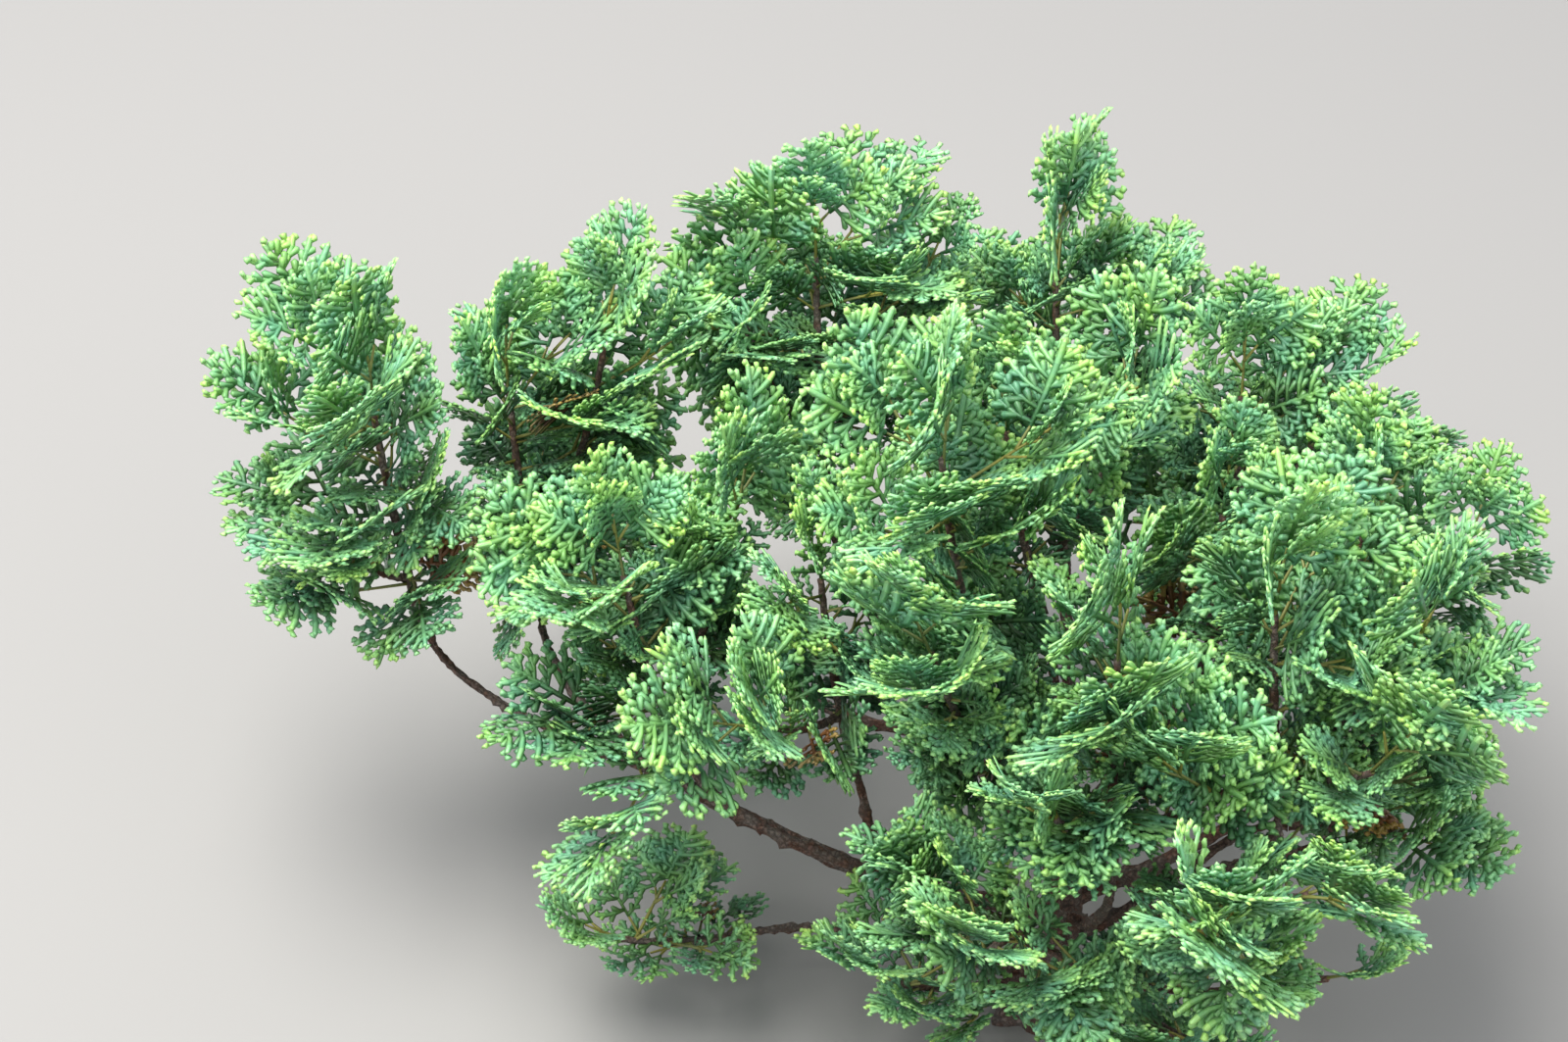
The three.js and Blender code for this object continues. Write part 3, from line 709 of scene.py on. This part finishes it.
def mesh_piece(name, points, polygons, materials, slots=None):
    """One object from points in millimetres and arrays of polygons, each array of one size."""
    mesh = bpy.data.meshes.new(name)
    mesh.vertices.add(len(points))
    mesh.vertices.foreach_set("co", (points * MM).astype(np.float32).ravel())
    sizes = np.concatenate([np.full(len(p), p.shape[1]) for p in polygons])
    corners = np.concatenate([p.ravel() for p in polygons])
    mesh.loops.add(len(corners))
    mesh.loops.foreach_set("vertex_index", corners.astype(np.int32))
    mesh.polygons.add(len(sizes))
    mesh.polygons.foreach_set("loop_start", (np.cumsum(sizes) - sizes).astype(np.int32))
    mesh.polygons.foreach_set("use_smooth", np.ones(len(sizes), bool))
    if slots is not None:
        mesh.polygons.foreach_set("material_index", slots.astype(np.int32))
    for material in materials:
        mesh.materials.append(material)
    mesh.update(calc_edges=True)
    mesh.validate()
    piece = bpy.data.objects.new(name, mesh)
    bpy.context.scene.collection.objects.link(piece)
    return piece


def linear(value):
    """An sRGB hex colour as linear red, green, blue."""
    parts = [int(value[i:i + 2], 16) / 255 for i in (1, 3, 5)]
    return [p / 12.92 if p <= 0.04045 else ((p + 0.055) / 1.055) ** 2.4 for p in parts]


def add(tree, kind, inputs=None, **settings):
    """Adds a shader node with its settings. An input is given a value, or a link from a socket or
    from a node's first output. Inputs 0, 6 and 7 of a Mix node are its factor and two colours,
    and its output 2 is their mix."""
    node = tree.nodes.new("ShaderNode" + kind)
    for name, value in settings.items():
        setattr(node, name, value)
    for name, value in (inputs or {}).items():
        if isinstance(value, bpy.types.Node):
            value = value.outputs[0]
        if isinstance(value, bpy.types.NodeSocket):
            tree.links.new(value, node.inputs[name])
        else:
            node.inputs[name].default_value = value
    return node


def fresh_material(name):
    """A material with an empty tree of nodes, and that tree."""
    material = bpy.data.materials.new(name)
    material.use_nodes = True
    material.node_tree.nodes.clear()
    return material, material.node_tree


def opaque(colour):
    """A linear colour with full alpha."""
    return (*colour, 1)


# What the coolest and the warmest leaves of a colour multiply its red, green and blue by
COOL = (0.87, 0.98, 1.2)
WARM = (1.11, 1.03, 0.6)


# Scale leaves of a cypress: waxy and half matt, 1.5 mm long, pressed flat to the branchlet. Their
# green drifts between blue and yellow from spray to spray, with soft mottling between branchlets,
# and a fine bump breaks the highlight up.
def leaf_material(name, colour, roughness=0.36):
    material, tree = fresh_material(name)
    place = add(tree, "TexCoord").outputs["Object"]
    drift = add(tree, "TexNoise",
                {"Vector": place, "Scale": 1 / (17 * MM), "Detail": 3.0, "Roughness": 0.6})
    warmth = add(tree, "MapRange", {"Value": drift, "From Min": 0.36, "From Max": 0.64})
    cool, warm = (opaque(np.array(colour) * tint) for tint in (COOL, WARM))
    hue = add(tree, "Mix", {0: warmth, 6: cool, 7: warm}, data_type="RGBA")
    mottle = add(tree, "TexNoise",
                 {"Vector": place, "Scale": 1 / (9 * MM), "Detail": 2.0, "Roughness": 0.6})
    light = add(tree, "MapRange", {"Value": mottle, "To Min": 0.72, "To Max": 1.28})
    mixed = add(tree, "HueSaturation", {"Color": hue.outputs[2], "Value": light})
    scales = add(tree, "TexVoronoi", {"Vector": place, "Scale": 1 / (1.3 * MM)})
    bump = add(tree, "Bump", {"Height": scales, "Strength": 0.35, "Distance": 0.25 * MM})
    surface = add(tree, "BsdfPrincipled",
                  {"Base Color": mixed, "Roughness": roughness, "IOR": 1.5, "Normal": bump})
    add(tree, "OutputMaterial", {"Surface": surface})
    return material


# Bark of old cypress wood: matt and scaly, red-brown where it is fresh and grey where it has
# weathered, with dark cracks between its small plates and pale specks of lichen.
def bark_material(name, weathered, fresh, lichen, lichen_share):
    material, tree = fresh_material(name)
    place = add(tree, "TexCoord").outputs["Object"]
    patches = add(tree, "TexNoise",
                  {"Vector": place, "Scale": 1 / (7 * MM), "Detail": 4.0, "Roughness": 0.65})
    edge = add(tree, "MapRange", {"Value": patches, "From Min": 0.4, "From Max": 0.62})
    body = add(tree, "Mix", {0: edge, 6: opaque(weathered), 7: opaque(fresh)}, data_type="RGBA")
    grit = add(tree, "TexNoise",
               {"Vector": place, "Scale": 1 / (1.1 * MM), "Detail": 3.0, "Roughness": 0.7})
    specks = add(tree, "MapRange", {"Value": grit, "From Min": 0.72 - lichen_share,
                                    "From Max": 0.78 - lichen_share})
    speckled = add(tree, "Mix", {0: specks, 6: body.outputs[2], 7: opaque(lichen)},
                   data_type="RGBA")
    shifted = add(tree, "VectorMath", {0: grit.outputs["Color"], 1: (2.4 * MM,) * 3, 2: place},
                  operation="MULTIPLY_ADD")
    plates = add(tree, "TexVoronoi", {"Vector": shifted, "Scale": 1 / (2 * MM)},
                 feature="DISTANCE_TO_EDGE")
    cracks = add(tree, "MapRange", {"Value": plates, "From Min": 0.0, "From Max": 0.3,
                                    "To Min": 0.42, "To Max": 1.1})
    cracked = add(tree, "Mix", {0: 1.0, 6: speckled.outputs[2], 7: cracks},
                  data_type="RGBA", blend_type="MULTIPLY")
    raised = add(tree, "Bump", {"Height": cracks, "Strength": 0.8, "Distance": 0.5 * MM})
    flakes = add(tree, "TexNoise",
                 {"Vector": place, "Scale": 1 / (1.8 * MM), "Detail": 5.0, "Roughness": 0.75})
    bump = add(tree, "Bump", {"Height": flakes, "Strength": 0.8, "Distance": 0.7 * MM,
                              "Normal": raised})
    surface = add(tree, "BsdfPrincipled", {"Base Color": cracked.outputs[2], "Roughness": 0.88,
                                           "IOR": 1.5, "Normal": bump})
    add(tree, "OutputMaterial", {"Surface": surface})
    return material


def length_prop(name, about, millimetres):
    """A length of so many millimetres as a property in metres."""
    return FloatProperty(name=name, description=about, default=millimetres * MM, min=0,
                         subtype="DISTANCE", unit="LENGTH", precision=5)


def colour_prop(name, about, value):
    """A colour property whose default is an sRGB hex value."""
    return FloatVectorProperty(name=name, description=about, default=linear(value), min=0,
                               max=1, size=3, subtype="COLOR")


class CypressSizes(bpy.types.PropertyGroup):
    branchlet_width: length_prop("Branchlet width", "Across a flat branchlet of scales", 2.35)
    branchlet_thickness: length_prop("Branchlet thickness", "Through a branchlet", 1.5)
    stalk_radius: length_prop("Stalk radius", "Of the twigs that carry the fans", 0.65)
    trunk_relief: length_prop("Trunk relief", "Depth of the bark's ridges on the trunk", 1.1)
    bough_relief: length_prop("Bough relief", "Depth of the bark's ridges on a bough", 0.8)
    seed: IntProperty(name="Seed", description="Picks the draws of the fans", default=5, min=0)


# The greens below are named for the newest, green and oldest fans, but they go by a fan's light:
# the darker ones are painted shade at the feet of fans and on fans deep inside the plant, and the
# lighter rims are partly the colour of new growth
class CypressColours(bpy.types.PropertyGroup):
    lime: colour_prop("Lime", "Rim of the newest fans", "#beec96")
    light: colour_prop("Light", "Rim of the green fans", "#a8dd92")
    fresh: colour_prop("Fresh", "Rim of the oldest fans", "#8dc687")
    green: colour_prop("Green", "Middle of the green fans", "#77ae79")
    moss: colour_prop("Moss", "Foot of the newest fans", "#67996b")
    deep: colour_prop("Deep", "Foot of the green fans", "#557e56")
    dark: colour_prop("Dark", "Foot of the oldest fans", "#415f40")
    rust: colour_prop("Rust", "Foot of the dead fans", "#7d5233")
    straw: colour_prop("Straw", "Tips of the dead fans", "#a68a55")
    stalk: colour_prop("Stalk", "Twigs inside the fans", "#8a8a4e")
    weathered: colour_prop("Weathered bark", "Old bark", "#877a70")
    fresh_bark: colour_prop("Fresh bark", "Bark where a flake has gone", "#7a5544")
    lichen: colour_prop("Lichen", "Specks on the bark", "#b3aa9b")


# Greens from the darkest, painted shade at the foot of fans deep inside the plant, to the rim of
# the brightest fans, then those of dead fans
LEAF_COLOURS = ("dark", "deep", "moss", "green", "fresh", "light", "lime", "rust", "straw")
GREENS = 7
# a fan's greens lighten from hub to rim: painted shade at its foot, and at its rim partly the
# colour of new growth
RIM_STEPS = (0.45, 0.68, 0.84, 0.93)  # shares of the way from hub to rim where the green changes
RIM_STRAY = (-0.07, 0.07)
MOST_TRIANGLES = 190000  # in one piece

# Waves of the bark's relief: how many go round the limb, their pitch along it in millimetres, and
# their weight. The whole relief is sunk into the limb by a share of its depth
TRUNK_WAVES = ((3, 31, 0.35), (7, 17, 0.4), (11, 9, 0.3), (17, 5.3, 0.2))
TRUNK_SUNK = 0.4
TRUNK_RINGS = 72
TRUNK_SIDES = 90
TRUNK_BARK_SEED = 3
BOUGH_WAVES = ((2, 17, 0.35), (3, 9.5, 0.4), (5, 6.1, 0.35), (7, 4.3, 0.2))
BOUGH_SUNK = 0.7
BOUGH_RING_STEP = 1.8
BOUGH_SIDES = 18
BOUGH_BARK_SEED = 11
KNOB_SPACING = 5.5
KNOB_RADIUS = 1.5
KNOB_HEIGHTS = (0.7, 2.2)
SHOOT_RINGS = 24
SHOOT_SIDES = 8
SHOOT_KNOTS = 0.14  # share of its radius by which a shoot swells and shrinks along it
STALK_TAPER = (1.15, 0.7)
STALK_SIDES = 3

# The studio, in metres and watts: a world of even light, two area lights, and a camera that looks
# down on the crown by 38 degrees from in front of it
WORLD_COLOUR = (0.86, 0.9, 1, 1)
WORLD_STRENGTH = 0.86
Lamp = namedtuple("Lamp", "name place size power")
LAMPS = (Lamp("key", (-0.7, 0.1, 1.9), 1.4, 60), Lamp("fill", (1.5, -1.3, 1.2), 1.8, 12))
LAMP_TARGET = (-0.05, 0.07, 0.12)
FLOOR_REACH = 6
CAMERA_TARGET = (-0.082, 0.075, 0.15)
CAMERA_WAY = (0, 0.788, -0.616)
CAMERA_DISTANCE = 1.15
CAMERA_LENS = 80.2  # millimetres, on a sensor 36 mm wide


def relief(turn, along, waves, rng):
    """A rough height from about -1 to 1 round a limb and along it: ridges that wander as they
    run along it, cut into flakes. It is a weighted sum of waves. Each is 1 less twice the power
    0.7 of a sine round the limb that bends as it goes along, and half that sine times another
    that runs along the limb."""
    height = np.zeros(np.broadcast(turn, along).shape)
    for count, pitch, weight in waves:
        phase, drift = rng.uniform(0, 2 * math.pi, 2)
        bend = 1.3 * np.sin(along * 2 * math.pi / (pitch * 2.3) + drift)
        wave = np.sin(count * turn + phase + bend)
        break_up = np.sin(along * 2 * math.pi / pitch + 3 * np.sin(turn + drift))
        height += weight * (1 - 2 * np.abs(wave) ** 0.7 + 0.5 * break_up * wave)
    return height / 1.25


def knobs(turn, along, radius, rng):
    """Heights of the knobs on a bough where old twigs have dropped off: round bumps that fall
    away as a bell curve, each at a place along the bough and a way round it drawn at random."""
    height = 0
    for _ in range(round(along[-1, 0] / KNOB_SPACING)):
        place, way = along[-1, 0] * rng.random(), rng.uniform(0, 2 * math.pi)
        off = (turn - way + math.pi) % (2 * math.pi) - math.pi
        away = ((along - place) ** 2 + (radius * off) ** 2) / KNOB_RADIUS ** 2
        height = height + rng.uniform(*KNOB_HEIGHTS) * np.exp(-away)
    return height


class CYPRESS_OT_bark(bpy.types.Operator):
    """Builds the trunk and the boughs with the relief of their bark"""
    bl_idname = "cypress.bark"
    bl_label = "Bark"

    def execute(self, context):
        sizes, colours = context.scene.cypress_sizes, context.scene.cypress_colours
        look = bark_material("cypress_bark_shredding", colours.weathered, colours.fresh_bark,
                             colours.lichen, 0.06)
        trunk = self.trunk(sizes.trunk_relief / MM, look)
        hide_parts("trunk")
        boughs = grow()[0]
        pieces = self.boughs(boughs, sizes.bough_relief / MM, look)
        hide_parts(*("bough_" + name for name in boughs))
        for piece in (trunk, pieces):
            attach(piece, "root")
        return {"FINISHED"}

    def trunk(self, depth, look):
        """Level rings round the middle line. The radius tapers with the height to the power
        0.7, gains a flare of lobes at the foot and the bark's relief, and rounds off over the
        last 7% of the height."""
        up = np.linspace(0, 1, TRUNK_RINGS)[:, None]
        turn = angles_round(TRUNK_SIDES)
        flare = ROOT_FLARE * (1 - up) ** 5 * (0.7 + 0.5 * np.cos(ROOT_LOBES * turn))
        radius = blend(TRUNK_FOOT_RADIUS, TRUNK_TOP_RADIUS, up ** 0.7) + flare
        rng = np.random.default_rng(TRUNK_BARK_SEED)
        rough = relief(turn, up * TRUNK_HEIGHT, TRUNK_WAVES, rng)
        radius = radius + depth * (0.5 * rough - TRUNK_SUNK)
        radius = radius * np.sqrt(np.clip(1 - np.clip((up - 0.93) / 0.07, 0, 1) ** 2, 0.02, 1))
        middle = trunk_middle(up[:, 0])[:, None]
        points = middle + radius[..., None] * np.stack(
            [np.cos(turn), -np.sin(turn), np.zeros(TRUNK_SIDES)], axis=1)
        quads, first, last = tube_faces(TRUNK_RINGS, TRUNK_SIDES)
        faces = [quads[:, ::-1], first[None, ::-1], last[None, ::-1]]
        return mesh_piece("trunk_bark", points.reshape(-1, 3), faces, [look])

    def boughs(self, boughs, depth, look):
        """Tubes along the boughs' curves, with rings that swell to half as much again at the
        foot, as a curve that dies away, and carry the bark's relief and knobs."""
        rng = np.random.default_rng(BOUGH_BARK_SEED)
        turn = angles_round(BOUGH_SIDES)
        points, faces = [], [[], [], []]
        for limb in boughs.values():
            size = length(limb.curve)
            share = np.linspace(0, 1, round(size / BOUGH_RING_STEP))
            along = share[:, None] * size
            radius = blend(limb.root, limb.tip, share)[:, None]
            rough = depth * (relief(turn, along, BOUGH_WAVES, rng) - BOUGH_SUNK)
            rough = rough + knobs(turn, along, radius, rng)
            radius = radius + 0.5 * radius * np.exp(-along / 4)
            start = sum(map(len, points))
            tube = tube_points(limb.curve(share), radius + rough, BOUGH_SIDES)
            points.append(tube.reshape(-1, 3))
            quads, first, last = tube_faces(len(share), BOUGH_SIDES)
            for kept, made in zip(faces, (quads, first[None], last[None])):
                kept.append(made + start)
        return mesh_piece("boughs_bark", np.vstack(points), [np.vstack(f) for f in faces],
                          [look])


class CYPRESS_OT_twigs(bpy.types.Operator):
    """Builds the shoots and the stalks that carry the fans"""
    bl_idname = "cypress.twigs"
    bl_label = "Twigs"

    def execute(self, context):
        sizes, colours = context.scene.cypress_sizes, context.scene.cypress_colours
        plant = grow()
        rng = np.random.default_rng(sizes.seed)
        stalks = np.vstack([fans_of(mass, plant, rng)[1] for mass in MASSES])
        taper = np.linspace(*STALK_TAPER, stalks.shape[1])[:, None] * sizes.stalk_radius / MM
        shoots = [limb for limbs in plant[1].values() for limb in limbs]
        share = np.linspace(0, 1, SHOOT_RINGS)
        paths = np.array([limb.curve(share) for limb in shoots])
        radii = np.array([blend(limb.root, limb.tip, share) for limb in shoots])[..., None]
        knots = 1 + SHOOT_KNOTS * np.sin(share[:, None] * 60 + np.arange(SHOOT_SIDES))
        look = bark_material("twig_bark_young", colours.weathered, colours.fresh_bark,
                             colours.lichen, 0)
        green = leaf_material("twig_skin_green", colours.stalk, 0.6)
        for name, points, sides, material in (
                ("shoots_bark", tube_points(paths, radii * knots, SHOOT_SIDES), SHOOT_SIDES, look),
                ("stalks", tube_points(stalks, taper, STALK_SIDES), STALK_SIDES, green)):
            count, rings = points.shape[:2]
            shift = np.arange(count)[:, None, None] * rings * sides
            quads, first, last = tube_faces(rings, sides)
            faces = [(quads + shift).reshape(-1, 4), first + shift[:, 0], last + shift[:, 0]]
            piece = mesh_piece(name, points.reshape(-1, 3), faces, [material])
            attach(piece, "root")
        return {"FINISHED"}


class CYPRESS_OT_fans(bpy.types.Operator):
    """Builds the fans of flat branchlets that the masses of foliage are made of"""
    bl_idname = "cypress.fans"
    bl_label = "Fans"

    def execute(self, context):
        sizes, colours = context.scene.cypress_sizes, context.scene.cypress_colours
        # the darker of these greens carry painted shade
        looks = [leaf_material("cypress_scales_" + name, getattr(colours, name))
                 for name in LEAF_COLOURS]
        rng = np.random.default_rng(sizes.seed)
        plant = grow()
        grown = [(mass, fans_of(mass, plant, rng)[0]) for mass in MASSES]
        patterns = [fan_pattern(detail, rng) for detail in (FULL, PLAIN)
                    for _ in range(PATTERNS)]
        batch, total = [], 0
        for mass, fans in grown:
            parts = self.spread(fans, patterns, sizes, rng)
            cost = sum(2 * len(part[1]) + len(part[3]) for part in parts)
            if total + cost > MOST_TRIANGLES:
                self.join(batch, looks)
                batch, total = [], 0
            batch += [(mass.name, *part) for part in parts]
            total += cost
        self.join(batch, looks)
        return {"FINISHED"}

    def shades(self, pattern, fans, rng):
        """The place in LEAF_COLOURS of each segment of each branchlet. The greens go from dark at
        a fan's foot to bright at its rim, from a start that its tint gives, with a few steps
        between and a little chance from one branchlet to the next. The dark foot is painted shade,
        and the bright rim is partly the lighter colour of new growth."""
        stray = rng.uniform(*RIM_STRAY, (len(fans.hub), len(pattern.sizes), 1))
        steps = np.searchsorted(RIM_STEPS, pattern.depth + stray)
        greens = np.clip(steps + fans.tint[:, None, None], 0, GREENS - 1)
        dead = GREENS + (steps > 1)
        return np.where(fans.tint[:, None, None] == DEAD, dead, greens)

    def spread(self, fans, patterns, sizes, rng):
        """The fans of one mass as a list of points, quads, their colours, triangles and their
        colours, one entry for the branches and one for the lobes of each pattern."""
        made = []
        for kind, parts in enumerate(patterns):
            chosen = Fans(*(column[fans.kind == kind] for column in fans))
            tilt = rng.uniform(*BRANCH_TILT, (len(chosen.hub), FULL.branches + 1))
            tilt[:, 0] = 0
            for part in parts if len(chosen.hub) else ():
                points = spread_fans(part, chosen, tilt, sizes.branchlet_width / MM,
                                     sizes.branchlet_thickness / MM, rng)
                shades = self.shades(part, chosen, rng)
                quads, quad_segments, triangles, triangle_segments = branchlet_faces(part.rings)
                shift = np.arange(shades[..., 0].size)[:, None, None] * points.shape[2]
                made.append((points.reshape(-1, 3), (quads + shift).reshape(-1, 4),
                             shades[..., quad_segments].ravel(),
                             (triangles + shift).reshape(-1, 3),
                             shades[..., triangle_segments].ravel()))
        return made

    def join(self, batch, looks):
        """Joins the fans of a batch of masses into one piece, which stands for those masses."""
        names, points, quads, quad_slots, triangles, triangle_slots = zip(*batch)
        moved = np.cumsum([0] + [len(p) for p in points])
        faces = [np.vstack([q + m for q, m in zip(kind, moved)]) for kind in (quads, triangles)]
        piece = mesh_piece("fans_from_" + names[0], np.vstack(points), faces, looks,
                           np.concatenate(quad_slots + triangle_slots))
        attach(piece, "root")
        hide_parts(*("foliage_" + name for name in dict.fromkeys(names)))


class CYPRESS_OT_stage(bpy.types.Operator):
    """Sets a plain pale floor, soft studio light and the camera"""
    bl_idname = "cypress.stage"
    bl_label = "Stage"

    def execute(self, context):
        scene = context.scene
        scene.view_settings.view_transform = "Standard"
        material, tree = fresh_material("floor_paper_matt")
        surface = add(tree, "BsdfPrincipled",
                      {"Base Color": opaque(linear("#a19e99")), "Roughness": 0.95})
        add(tree, "OutputMaterial", {"Surface": surface})
        edge = np.array([(-1, -1, 0), (1, -1, 0), (1, 1, 0), (-1, 1, 0)]) * FLOOR_REACH / MM
        floor = mesh_piece("floor", edge, [np.array([[0, 1, 2, 3]])], [material])
        world = bpy.data.worlds.new("studio")
        scene.world = world
        world.use_nodes = True
        background = world.node_tree.nodes["Background"].inputs
        background["Color"].default_value = WORLD_COLOUR
        background["Strength"].default_value = WORLD_STRENGTH
        for lamp in LAMPS:
            light = bpy.data.lights.new(lamp.name, "AREA")
            light.size, light.energy = lamp.size, lamp.power
            self.aim(scene, light, lamp.place, Vector(LAMP_TARGET) - Vector(lamp.place))
        camera = bpy.data.cameras.new("camera")
        camera.sensor_width = 36
        camera.lens = CAMERA_LENS
        camera.clip_start = 0.05
        way = Vector(CAMERA_WAY).normalized()
        scene.camera = self.aim(scene, camera, Vector(CAMERA_TARGET) - CAMERA_DISTANCE * way, way)
        return {"FINISHED"}

    def aim(self, scene, data, place, way):
        """Puts a light or a camera at a place, looking along a way with its top upwards."""
        holder = bpy.data.objects.new(data.name, data)
        holder.location = place
        holder.rotation_euler = way.to_track_quat("-Z", "Y").to_euler()
        scene.collection.objects.link(holder)
        return holder


class CYPRESS_PT_panel(bpy.types.Panel):
    bl_label = "Dwarf hinoki cypress"
    bl_idname = "CYPRESS_PT_panel"
    bl_space_type = "VIEW_3D"
    bl_region_type = "UI"
    bl_category = "Cypress"

    def draw(self, context):
        for group in (context.scene.cypress_sizes, context.scene.cypress_colours):
            box = self.layout.box()
            for name in type(group).__annotations__:
                box.prop(group, name)
        for operator in OPERATORS:
            self.layout.operator(operator.bl_idname)


OPERATORS = (CYPRESS_OT_bark, CYPRESS_OT_twigs, CYPRESS_OT_fans, CYPRESS_OT_stage)
CLASSES = (CypressSizes, CypressColours) + OPERATORS + (CYPRESS_PT_panel,)


def register():
    for cls in CLASSES:
        bpy.utils.register_class(cls)
    bpy.types.Scene.cypress_sizes = PointerProperty(type=CypressSizes)
    bpy.types.Scene.cypress_colours = PointerProperty(type=CypressColours)


def unregister():
    del bpy.types.Scene.cypress_colours
    del bpy.types.Scene.cypress_sizes
    for cls in reversed(CLASSES):
        bpy.utils.unregister_class(cls)


def main():
    register()
    bpy.ops.cypress.bark()
    bpy.ops.cypress.twigs()
    bpy.ops.cypress.fans()
    bpy.ops.cypress.stage()


if __name__ == "__main__":
    main()
